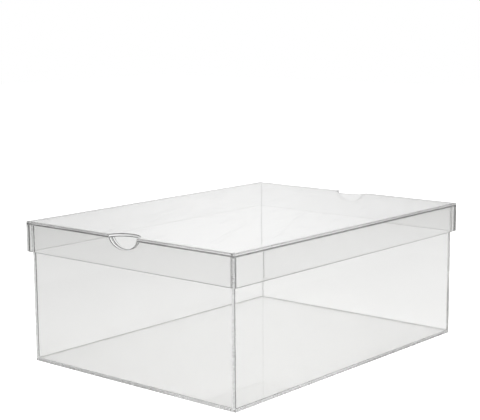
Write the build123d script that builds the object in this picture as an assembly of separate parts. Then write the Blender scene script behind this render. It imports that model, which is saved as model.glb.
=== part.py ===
from build123d import *
import os

# A clear acrylic shoe box: an open base of five bonded sheets, and a lift-off lid of five more
# whose skirt slides down over the base. Both ends have a finger notch for lifting the lid.
#
# Millimetres. +X runs along the length, +Y across the width and +Z up. The origin is the middle
# of the footprint, on the surface that the box stands on.

# Driving dimensions
base_length = 350.0
base_width = 260.0
overall_height = 140.0  # standing, with the lid on
sheet = 3.0  # thickness of every acrylic sheet
lid_depth = 30.0  # from the top of the lid to the lower edge of its skirt
lid_clearance = 1.0  # between the skirt and the base wall, on each side
notch_width = 36.0  # of the finger notches, across the end of the box
notch_drop = 12.5  # how far a notch reaches down from the top of the lid
notch_reach = 14.5  # how far a notch reaches in over the top of the lid
cement_film = 0.05  # solvent cement between two bonded faces
seat_gap = 0.1  # air between the resting lid and the rim of the base

# Worked out from them
base_x = base_length / 2
base_y = base_width / 2
rim = overall_height - sheet - seat_gap
wall_foot = sheet + cement_film
lid_x = base_x + lid_clearance + sheet
lid_y = base_y + lid_clearance + sheet
lid_underside = overall_height - sheet
skirt_head = lid_underside - cement_film
skirt_foot = overall_height - lid_depth
end_depth = sheet + lid_clearance + sheet  # skirt, gap and wall together
sides = {"front": -1, "back": 1}
ends = {"left": -1, "right": 1}


def slab(x_limits, y_limits, z_limits):
    """A flat sheet that fills the box between three pairs of limits, in either order."""
    limits = (x_limits, y_limits, z_limits)
    middle = [sum(pair) / 2 for pair in limits]
    size = [abs(pair[1] - pair[0]) for pair in limits]
    return Pos(*middle) * Box(*size)


def side_sheet(side, face_x, face_y, z_limits):
    """A long upright sheet. It runs the full length, and its outer face is at face_y."""
    inner_y = face_y - sheet
    return slab((-face_x, face_x), (side * inner_y, side * face_y), z_limits)


def end_sheet(end, face_x, face_y, z_limits):
    """A short upright sheet between the two long ones, with its finger notch cut in its top."""
    inner_x = face_x - sheet
    butt_y = face_y - sheet - cement_film
    plain = slab((end * inner_x, end * face_x), (-butt_y, butt_y), z_limits)
    return plain - end_notch(end)


def end_notch(end):
    """The half-oval cutter that makes a finger notch in the skirt and the wall of one end."""
    oval = Plane.YZ * Ellipse(notch_width / 2, notch_drop)
    cutter = extrude(oval, amount=end_depth, both=True)
    return Pos(end * base_x, 0, overall_height) * cutter


def top_notch(end):
    """The half-oval cutter that continues a finger notch in over the top of the lid."""
    oval = Ellipse(notch_reach, notch_width / 2)
    cutter = extrude(oval, amount=sheet * 2, both=True)
    return Pos(end * lid_x, 0, lid_underside) * cutter


def base_panel():
    """The floor of the box. The four walls stand on it."""
    return slab((-base_x, base_x), (-base_y, base_y), (0, sheet))


def lid_top():
    """The top of the lid. It lies on the four skirt strips, and is notched at both ends."""
    plain = slab((-lid_x, lid_x), (-lid_y, lid_y), (lid_underside, overall_height))
    return plain - [top_notch(end) for end in ends.values()]


def all_sheets():
    """Every sheet of the box by name, in place, with the lid on."""
    sheets = {"base_panel": base_panel(), "lid_top": lid_top()}
    wall_height = (wall_foot, rim)
    skirt_height = (skirt_foot, skirt_head)
    for name, side in sides.items():
        sheets[f"{name}_wall"] = side_sheet(side, base_x, base_y, wall_height)
        sheets[f"lid_{name}_skirt"] = side_sheet(side, lid_x, lid_y, skirt_height)
    for name, end in ends.items():
        sheets[f"{name}_wall"] = end_sheet(end, base_x, base_y, wall_height)
        sheets[f"lid_{name}_skirt"] = end_sheet(end, lid_x, lid_y, skirt_height)
    return sheets


os.makedirs("parts", exist_ok=True)
for sheet_name, solid in all_sheets().items():
    solid.label = sheet_name
    export_step(solid, f"parts/{sheet_name}.step")
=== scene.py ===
import math
from collections import namedtuple

import bpy
from mathutils import Matrix, Vector


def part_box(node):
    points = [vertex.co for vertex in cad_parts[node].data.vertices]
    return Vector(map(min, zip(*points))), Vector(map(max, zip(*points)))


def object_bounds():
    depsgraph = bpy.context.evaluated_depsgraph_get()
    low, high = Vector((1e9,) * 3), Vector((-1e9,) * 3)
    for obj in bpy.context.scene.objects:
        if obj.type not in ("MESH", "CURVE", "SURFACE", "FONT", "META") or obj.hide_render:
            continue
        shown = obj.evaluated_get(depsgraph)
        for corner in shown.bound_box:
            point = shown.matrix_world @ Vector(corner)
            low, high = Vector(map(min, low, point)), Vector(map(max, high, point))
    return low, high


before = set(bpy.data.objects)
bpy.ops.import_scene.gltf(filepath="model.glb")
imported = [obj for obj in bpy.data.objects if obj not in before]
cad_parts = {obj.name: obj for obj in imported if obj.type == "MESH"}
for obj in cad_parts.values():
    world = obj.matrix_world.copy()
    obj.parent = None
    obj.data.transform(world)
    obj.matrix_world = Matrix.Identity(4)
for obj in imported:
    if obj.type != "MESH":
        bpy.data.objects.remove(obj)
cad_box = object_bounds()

# A clear acrylic shoe box: five cemented sheets make the base, and five more the lift-off lid.
# Lengths are in metres, in the CAD model's frame.

# ------------------------------------------------------------------ camera

CAMERA_AZIMUTH = math.radians(-49.475)
CAMERA_ELEVATION = math.radians(9.045)
CAMERA_ROLL = math.radians(0.397)
CAMERA_DISTANCE = 1.2707
CAMERA_LENS = 93.25  # millimetres, on a sensor CAMERA_SENSOR wide
CAMERA_SENSOR = 36.0
CAMERA_AIM = Vector((0.0022, 0.0146, cad_box[1].z))


def make_camera():
    """A level long-lens view of the left end and the front, from a little above the lid."""
    back = Vector((
        math.sin(CAMERA_AZIMUTH) * math.cos(CAMERA_ELEVATION),
        -math.cos(CAMERA_AZIMUTH) * math.cos(CAMERA_ELEVATION),
        math.sin(CAMERA_ELEVATION),
    ))
    camera = bpy.data.objects.new("camera", bpy.data.cameras.new("camera"))
    camera.data.lens = CAMERA_LENS
    camera.data.sensor_width = CAMERA_SENSOR
    turn = back.to_track_quat("Z", "Y").to_matrix() @ Matrix.Rotation(-CAMERA_ROLL, 3, "Z")
    camera.matrix_world = Matrix.Translation(CAMERA_AIM + back * CAMERA_DISTANCE) @ turn.to_4x4()
    bpy.context.scene.collection.objects.link(camera)
    bpy.context.scene.camera = camera


# ------------------------------------------------------------------ node trees

NOISE_DETAIL = 2.0


class Tree:
    """A short way to write a node tree: each call makes a node and returns one of its outputs."""

    def __init__(self, owner):
        owner.use_nodes = True
        self.nodes = owner.node_tree.nodes
        self.links = owner.node_tree.links
        self.nodes.clear()

    def add(self, kind, inputs=None, out=0, **settings):
        """A node, with each input linked to an output or set to a value."""
        node = self.nodes.new(kind)
        for key, value in settings.items():
            setattr(node, key, value)
        for key, value in (inputs or {}).items():
            if isinstance(value, bpy.types.NodeSocket):
                self.links.new(value, node.inputs[key])
            else:
                node.inputs[key].default_value = value
        return node.outputs[out]

    def split(self, vector):
        """The x, y and z of a vector."""
        return list(self.add("ShaderNodeSeparateXYZ", {0: vector}).node.outputs)

    def math(self, operation, a, b=0.0, c=0.0):
        return self.add("ShaderNodeMath", {0: a, 1: b, 2: c}, operation=operation)

    def vector_math(self, operation, a, b, out=0):
        return self.add("ShaderNodeVectorMath", {0: a, 1: b}, out=out, operation=operation)

    def total(self, *values):
        result = values[0]
        for value in values[1:]:
            result = self.math("ADD", result, value)
        return result

    def product(self, *values):
        result = values[0]
        for value in values[1:]:
            result = self.math("MULTIPLY", result, value)
        return result

    def remap(self, value, low, high, to_low=0.0, to_high=1.0):
        """The value, moved from between low and high to between to_low and to_high, and clamped."""
        names = ("Value", "From Min", "From Max", "To Min", "To Max")
        return self.add("ShaderNodeMapRange", dict(zip(names, (value, low, high, to_low, to_high))))

    def blend(self, mask, a, b):
        """The value a where the mask is 0, and b where it is 1."""
        return self.remap(mask, 0.0, 1.0, a, b)

    def noise(self, vector, scale, detail=NOISE_DETAIL):
        return self.add("ShaderNodeTexNoise", {"Vector": vector, "Scale": scale, "Detail": detail})

    def mix(self, factor, a, b):
        return self.add("ShaderNodeMixShader", {0: factor, 1: a, 2: b})

    def ray(self, name):
        return self.add("ShaderNodeLightPath", out=name)

    def finish(self, kind, **shaders):
        out = self.nodes.new(kind)
        for name, shader in shaders.items():
            self.links.new(shader, out.inputs[name])


# ------------------------------------------------------------------ stage

FLOOR_DROP = 0.0002
FLOOR_HALF = 4.0
FLOOR_COLOUR = (0.95, 0.95, 0.945, 1)
FLOOR_LIFT = 0.8
CLEAN_WHITE = (1.0, 1.0, 1.0, 1)

BACKDROP_SIDE = (0.76, 0.65, 0.0)  # the way the camera looks, towards the backdrop
BACKDROP_ACROSS = (0.65, -0.76, 0.0)  # across that, to the right
STUDIO_LEVELS = ((0.0, 0.95), (0.2, 0.98), (0.5, 0.4), (1.0, 0.3))  # heights, and the levels there
NEAR_SIDE = (-0.6, 0.9, 0.65, 1.0)  # from the near side to the backdrop, and the levels there
FLANKS = (0.03, 0.2, 1.08, 0.82)  # from the middle of the view to its flanks, and the levels there


def make_world():
    """A pale studio: a white backdrop, dimmer at its flanks, overhead and on the near side."""
    world = bpy.data.worlds.new("studio")
    bpy.context.scene.world = world
    t = Tree(world)
    direction = t.add("ShaderNodeTexCoord", out="Generated")
    height = t.split(direction)[2]
    facing = t.vector_math("DOT_PRODUCT", direction, BACKDROP_SIDE, out=1)
    across = t.vector_math("DOT_PRODUCT", direction, BACKDROP_ACROSS, out=1)
    ramp = t.nodes.new("ShaderNodeValToRGB")
    t.links.new(height, ramp.inputs[0])
    while len(ramp.color_ramp.elements) < len(STUDIO_LEVELS):
        ramp.color_ramp.elements.new(0.5)  # its place is set below
    for element, (place, level) in zip(ramp.color_ramp.elements, STUDIO_LEVELS):
        element.position = place
        element.color = (level, level, level, 1)
    level = t.product(t.remap(facing, *NEAR_SIDE), t.remap(t.math("ABSOLUTE", across), *FLANKS))
    room = t.add("ShaderNodeBackground", {"Color": ramp.outputs[0], "Strength": level})
    plain = t.add("ShaderNodeBackground", {"Color": CLEAN_WHITE})
    t.finish("ShaderNodeOutputWorld", Surface=t.mix(t.ray("Is Camera Ray"), room, plain))


def make_floor():
    """A pale floor, a hair below the box, lifted to white where the camera sees it directly."""
    mesh = bpy.data.meshes.new("floor")
    corners = ((-1, -1), (1, -1), (1, 1), (-1, 1))
    mesh.from_pydata([(x * FLOOR_HALF, y * FLOOR_HALF, -FLOOR_DROP) for x, y in corners], [], [range(4)])
    floor = bpy.data.objects.new("floor", mesh)
    bpy.context.scene.collection.objects.link(floor)
    material = bpy.data.materials.new("floor")
    t = Tree(material)
    matt = t.add("ShaderNodeBsdfDiffuse", {"Color": FLOOR_COLOUR})
    lift = t.add("ShaderNodeEmission", {"Strength": t.product(t.ray("Is Camera Ray"), FLOOR_LIFT)})
    t.finish("ShaderNodeOutputMaterial", Surface=t.add("ShaderNodeAddShader", {0: matt, 1: lift}))
    mesh.materials.append(material)


def softbox(name, place, size, power, seen_in_acrylic=True):
    """A square soft light aimed at the box. Its own image may be left out of the acrylic."""
    data = bpy.data.lights.new(name, "AREA")
    data.size = size
    data.energy = power
    light = bpy.data.objects.new(name, data)
    light.visible_glossy = seen_in_acrylic
    light.visible_transmission = seen_in_acrylic
    light.location = place
    light.rotation_mode = "QUATERNION"
    light.rotation_quaternion = Vector(place).to_track_quat("Z", "Y")
    bpy.context.scene.collection.objects.link(light)


# ------------------------------------------------------------------ acrylic

IOR = 1.49
DYE_COLOUR = (0.22, 0.22, 0.2, 1)
DYE_DENSITY = 0.5
JOINT_FILM = 0.00006
BUBBLE_CELL = 0.007
BUBBLE_RADIUS = 0.0007

WELD_DISTANCE = 0.000001
ARRIS_WIDTH = 0.0003
ARRIS_SEGMENTS = 2
ARRIS_ANGLE = math.radians(40)  # edges that turn less than this stay sharp
FACE_LEAN = 0.5  # how much of its normal is along the sheet's thickness, at least, in a face
FACE, EDGE, ARRIS = range(3)  # the material slots of each sheet

FACE_TINT = (0.95, 0.95, 0.948, 1)
FACE_SHADE = (1.0, 1.0, 0.998, 1)
WAVE_SCALE = 12.0
WAVE_DETAIL = 1.0
WAVE_HEIGHT = 0.00005
SCRATCHES = ((0.35, 0.24), (1.9, 0.22))  # the angle of each set of scratches, and its share of the face
SCRATCH_STRETCH = (18.0, 900.0)  # noise cells per metre along a scratch and across it
SCRATCH_DETAIL = 0.0
SCRATCH_FADE = 0.03  # how much of the noise a scratch takes to fade in
SCRATCH_ROUGHNESS = 0.09
SCRATCH_DEPTH = 0.000004
HAZE_SCALE = 22.0
HAZE_DETAIL = 3.0
HAZE_ROUGHNESS = (0.52, 0.72, 0.0, 0.035)  # from and to which noise, and the roughness there

EDGE_TINT = 0.99
EDGE_SHADE = (0.8, 0.8, 0.8, 1)
CUTTER_MARK_SCALE = 2200.0
CUTTER_MARK_STRETCH = 0.02
CUTTER_MARK_DETAIL = 1.0
CUTTER_MARK_FROST = (0.3, 0.7, 0.8, 1.2)  # from and to which noise, and the share of the frost there
CUTTER_MARK_HEIGHT = 0.000006
PATCH_SCALE = 60.0
PATCH_FROST = (0.35, 0.65, -0.15, 0.25)  # the same, added to that share

ARRIS_SHADE = (0.6, 0.6, 0.6, 1)
CHIP_SCALE = 900.0
CHIP_HEIGHT = 0.00001
CHIP_ROUGHNESS = (0.35, 0.7, 0.2, 0.5)  # from and to which noise, and the roughness there

NOTCH_HALF_WIDTH = 0.0182
NOTCH_DEPTH = 0.0128
# the notch's cut face is whitened: partly frost, partly painted light for the light guided through the
# sheet
NOTCH_FROST_AND_PAINTED_LIGHT = 0.9
NOTCH_BORDER = (0.0006, 0.001)  # from the middle of a notch's cut face to where its painted dark border (painted shade) is full
# painted shade: the near-black tint of the notch's cut face along its dark borders
NOTCH_BORDER_PAINTED_SHADE = 0.02

# How each shell's flat panel and its upright sheets are finished, with painted light and shade: how much
# their cut edges are whitened, partly as frost and partly as painted light, how rough those are, and the
# darkening tint of the free arrises, which is painted shade; then the whitening, which is painted light,
# and the darkening tint, which is painted shade, of edges and arrises at a cemented seam, and how far
# from it they reach.
FinishAndPaintedLight = namedtuple("FinishAndPaintedLight", "milk frost arris_tint seam_milk seam_tint seam_reach")
FINISHES_AND_PAINTED_LIGHT = {
    ("base", "panel"): FinishAndPaintedLight(0.15, 0.26, 0.2, 0.6, 0.9, 0.0005),
    ("base", "upright"): FinishAndPaintedLight(0.6, 0.26, 0.3, 0.75, 0.9, 0.0005),
    ("lid", "panel"): FinishAndPaintedLight(0.3, 0.13, 0.9, 0.0, 0.35, 0.0012),
    ("lid", "upright"): FinishAndPaintedLight(0.6, 0.26, 0.6, 0.2, 0.35, 0.0005),
}
SHELLS = {
    "base": ("base_panel", "back_wall", "right_wall"),
    "lid": ("lid_top", "lid_back_skirt", "lid_right_skirt"),
}


def seams(t, place, shell, reach):
    """1 within reach of the planes that this shell's sheets are cemented on, and 0 elsewhere."""
    panel, side, end = (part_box(name) for name in SHELLS[shell])
    # the joint lies between the inner two of the four heights, whichever sheet is on top
    heights = sorted((panel[0].z, panel[1].z, side[0].z, side[1].z))
    x, y, z = (t.math("ABSOLUTE", value) for value in t.split(place))
    over_end = t.math("GREATER_THAN", x, end[0].x - reach)
    over_side = t.math("GREATER_THAN", y, side[0].y - reach)
    rim = t.product(
        t.math("COMPARE", z, (heights[1] + heights[2]) / 2, reach),
        t.math("MAXIMUM", over_end, over_side),
    )
    corner = t.product(t.math("COMPARE", y, (side[0].y + end[1].y) / 2, reach), over_end)
    return t.math("MAXIMUM", rim, corner)


def cemented(t, place, shell):
    """1 where cement joins this sheet to the next one, and 0 elsewhere and in the cement's bubbles."""
    cell = t.add("ShaderNodeTexVoronoi", {"Vector": place, "Scale": 1 / BUBBLE_CELL})
    filled = t.math("GREATER_THAN", cell, BUBBLE_RADIUS / BUBBLE_CELL)
    return t.product(seams(t, place, shell, JOINT_FILM), filled)


def notched(t, place):
    """1 in the finger notches, and 0 elsewhere."""
    y, z = t.split(place)[1:]
    return t.product(
        t.math("LESS_THAN", t.math("ABSOLUTE", y), NOTCH_HALF_WIDTH),
        t.math("GREATER_THAN", z, cad_box[1].z - NOTCH_DEPTH),
    )


def sheet_borders(t, place, shell, axis):
    """How near a point of a sheet's edge is to one of its faces: 0 in the middle, 1 by a face."""
    low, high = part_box(SHELLS[shell][2 - axis])
    depth = t.math("ABSOLUTE", t.split(place)[axis])
    off_middle = t.math("ABSOLUTE", t.math("SUBTRACT", depth, (low[axis] + high[axis]) / 2))
    return t.remap(off_middle, *NOTCH_BORDER)


def glass(t, bond, tint_and_painted_shade, rough, height, shade, milk=None):
    """Clear acrylic: it bends light, thins it inside, and lets lamps through to what it covers.

    Bond is 1 where cement makes the surface vanish. The last argument is how much of the skin is
    whitened, partly as frost and partly as painted light; on edges and arrises the tint also carries
    painted shade.
    """
    normal = t.add("ShaderNodeBump", {"Height": height, "Strength": 1.0, "Distance": 1.0})
    skin = t.add("ShaderNodeBsdfPrincipled", {
        "Base Color": tint_and_painted_shade, "Roughness": rough, "IOR": IOR, "Transmission Weight": 1.0, "Normal": normal,
    })
    if milk is not None:
        # painted light, partly frost: a white diffuse skin mixed into the acrylic
        white = t.add("ShaderNodeBsdfDiffuse", {"Color": CLEAN_WHITE, "Normal": normal})
        skin = t.mix(milk, skin, white)
    lamp_light = t.add("ShaderNodeBsdfTransparent", {"Color": shade})
    cement = t.add("ShaderNodeBsdfTransparent", {"Color": CLEAN_WHITE})
    surface = t.mix(t.ray("Is Shadow Ray"), skin, lamp_light)
    dye = t.add("ShaderNodeVolumeAbsorption", {"Color": DYE_COLOUR, "Density": DYE_DENSITY})
    bonded = t.mix(bond, surface, cement)
    t.finish("ShaderNodeOutputMaterial", Surface=bonded, Volume=dye)


def scratches(t, u, v, turn, share):
    """Sparse fine scratches that run at one angle in the sheet's plane."""
    along = t.total(t.product(u, math.cos(turn)), t.product(v, math.sin(turn)))
    across = t.total(t.product(u, -math.sin(turn)), t.product(v, math.cos(turn)))
    cells = [t.product(value, scale) for value, scale in zip((along, across), SCRATCH_STRETCH)]
    stretched = t.add("ShaderNodeCombineXYZ", dict(enumerate((*cells, turn))))
    bare = 1.0 - share
    return t.remap(t.noise(stretched, 1.0, SCRATCH_DETAIL), bare, bare + SCRATCH_FADE)


def face_material(shell, axis):
    """A polished sheet face: slow waves in the sheet, fine scratches, and a little handling haze."""
    material = bpy.data.materials.new("acrylic_face_{}_{}".format(shell, "xyz"[axis]))
    t = Tree(material)
    place = t.add("ShaderNodeTexCoord", out="Object")
    u, v = (value for i, value in enumerate(t.split(place)) if i != axis)
    lines = t.math("MAXIMUM", *(scratches(t, u, v, turn, share) for turn, share in SCRATCHES))
    haze = t.remap(t.noise(place, HAZE_SCALE, HAZE_DETAIL), *HAZE_ROUGHNESS)
    rough = t.total(t.product(lines, SCRATCH_ROUGHNESS), haze)
    waves = t.product(t.noise(place, WAVE_SCALE, WAVE_DETAIL), WAVE_HEIGHT)
    height = t.math("SUBTRACT", waves, t.product(lines, SCRATCH_DEPTH))
    glass(t, cemented(t, place, shell), FACE_TINT, rough, height, FACE_SHADE)
    return material


def edge_material(shell, axis, finish):
    """A cut sheet edge: slightly frosted, with cutter marks that run through the thickness."""
    material = bpy.data.materials.new("acrylic_edge_{}_{}".format(shell, "xyz"[axis]))
    t = Tree(material)
    place = t.add("ShaderNodeTexCoord", out="Object")
    seam = seams(t, place, shell, finish.seam_reach)
    stretch = [1.0, 1.0, 1.0]
    stretch[axis] = CUTTER_MARK_STRETCH
    stretched = t.vector_math("MULTIPLY", place, stretch)
    marks = t.noise(stretched, CUTTER_MARK_SCALE, CUTTER_MARK_DETAIL)
    patches = t.noise(place, PATCH_SCALE)
    uneven = t.total(t.remap(marks, *CUTTER_MARK_FROST), t.remap(patches, *PATCH_FROST))
    rough = t.product(uneven, finish.frost)
    height = t.product(marks, CUTTER_MARK_HEIGHT * finish.frost)
    notch = notched(t, place)
    painted_shade_border = t.product(notch, sheet_borders(t, place, shell, axis))
    # painted shade: near-black borders on the notch's cut face, and the seam's darker tint along seams
    tint_and_painted_shade = t.blend(painted_shade_border, t.blend(seam, EDGE_TINT, finish.seam_tint), NOTCH_BORDER_PAINTED_SHADE)
    outside = t.math("SUBTRACT", 1.0, t.add("ShaderNodeNewGeometry", out="Backfacing"))
    # whitening, partly frost and partly painted light: on sawn edges seen from outside, at seams and in
    # the notches
    sawn_frost_and_painted_light = t.product(outside, t.blend(seam, finish.milk, finish.seam_milk))
    milk = t.blend(painted_shade_border, t.blend(notch, sawn_frost_and_painted_light, NOTCH_FROST_AND_PAINTED_LIGHT), 0.0)
    glass(t, cemented(t, place, shell), tint_and_painted_shade, rough, height, EDGE_SHADE, milk)
    return material


def arris_material(shell, axis, finish):
    """The eased corner between a face and an edge: a fine, slightly chipped line, darkened by a tint
    that is painted shade.

    Along the seams it takes the seam's darker tint, which is painted shade, and a whitening, which is
    painted light.
    """
    material = bpy.data.materials.new("acrylic_arris_{}_{}".format(shell, "xyz"[axis]))
    t = Tree(material)
    place = t.add("ShaderNodeTexCoord", out="Object")
    seam = seams(t, place, shell, finish.seam_reach)
    chips = t.noise(place, CHIP_SCALE)
    rough = t.remap(chips, *CHIP_ROUGHNESS)
    height = t.product(chips, CHIP_HEIGHT)
    # painted shade: a darker tint on the free arrises, near-black in the notches, and the seam's tint
    # along seams
    free_arris_painted_shade = t.blend(notched(t, place), finish.arris_tint, NOTCH_BORDER_PAINTED_SHADE)
    tint_and_painted_shade = t.blend(seam, free_arris_painted_shade, finish.seam_tint)
    # painted light: the whitening along the seams
    milk = t.product(seam, finish.seam_milk)
    glass(t, cemented(t, place, shell), tint_and_painted_shade, rough, height, ARRIS_SHADE, milk)
    return material


def thin_axis(name):
    """The axis, 0 to 2, that a sheet's thickness lies along."""
    low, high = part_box(name)
    size = list(high - low)
    return size.index(min(size))


def finish_sheets():
    """Give each sheet its polished faces, its cut edges and a fine arris between them."""
    made = {}
    for shell in SHELLS:
        for axis in range(3):
            finish = FINISHES_AND_PAINTED_LIGHT[shell, "panel" if axis == 2 else "upright"]
            made[shell, axis] = (
                face_material(shell, axis),
                edge_material(shell, axis, finish),
                arris_material(shell, axis, finish),
            )
    for name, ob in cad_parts.items():
        shell = "lid" if name.startswith("lid") else "base"
        axis = thin_axis(name)
        ob.data.materials.clear()
        for material in made[shell, axis]:
            ob.data.materials.append(material)
        for polygon in ob.data.polygons:
            polygon.material_index = EDGE if abs(polygon.normal[axis]) < FACE_LEAN else FACE
        weld = ob.modifiers.new("weld", "WELD")
        weld.merge_threshold = WELD_DISTANCE
        ease = ob.modifiers.new("ease", "BEVEL")
        ease.width = ARRIS_WIDTH
        ease.segments = ARRIS_SEGMENTS
        ease.limit_method = "ANGLE"
        ease.angle_limit = ARRIS_ANGLE
        ease.material = ARRIS


SHEET_BOUNCES = 128
CLEAR_BOUNCES = 64


def allow_long_paths(cycles):
    """Let light be guided a long way inside the sheets, as it is in clear acrylic."""
    cycles.max_bounces = SHEET_BOUNCES
    cycles.transmission_bounces = SHEET_BOUNCES
    cycles.glossy_bounces = SHEET_BOUNCES
    cycles.transparent_max_bounces = CLEAR_BOUNCES


make_camera()
make_world()
make_floor()
softbox("overhead", place=(0.5, 0.0, 1.6), size=1.2, power=18, seen_in_acrylic=False)
softbox("front_fill", place=(-0.9, -1.0, 0.8), size=1.0, power=10)
finish_sheets()
allow_long_paths(bpy.context.scene.cycles)
bpy.context.scene.view_settings.view_transform = "Standard"
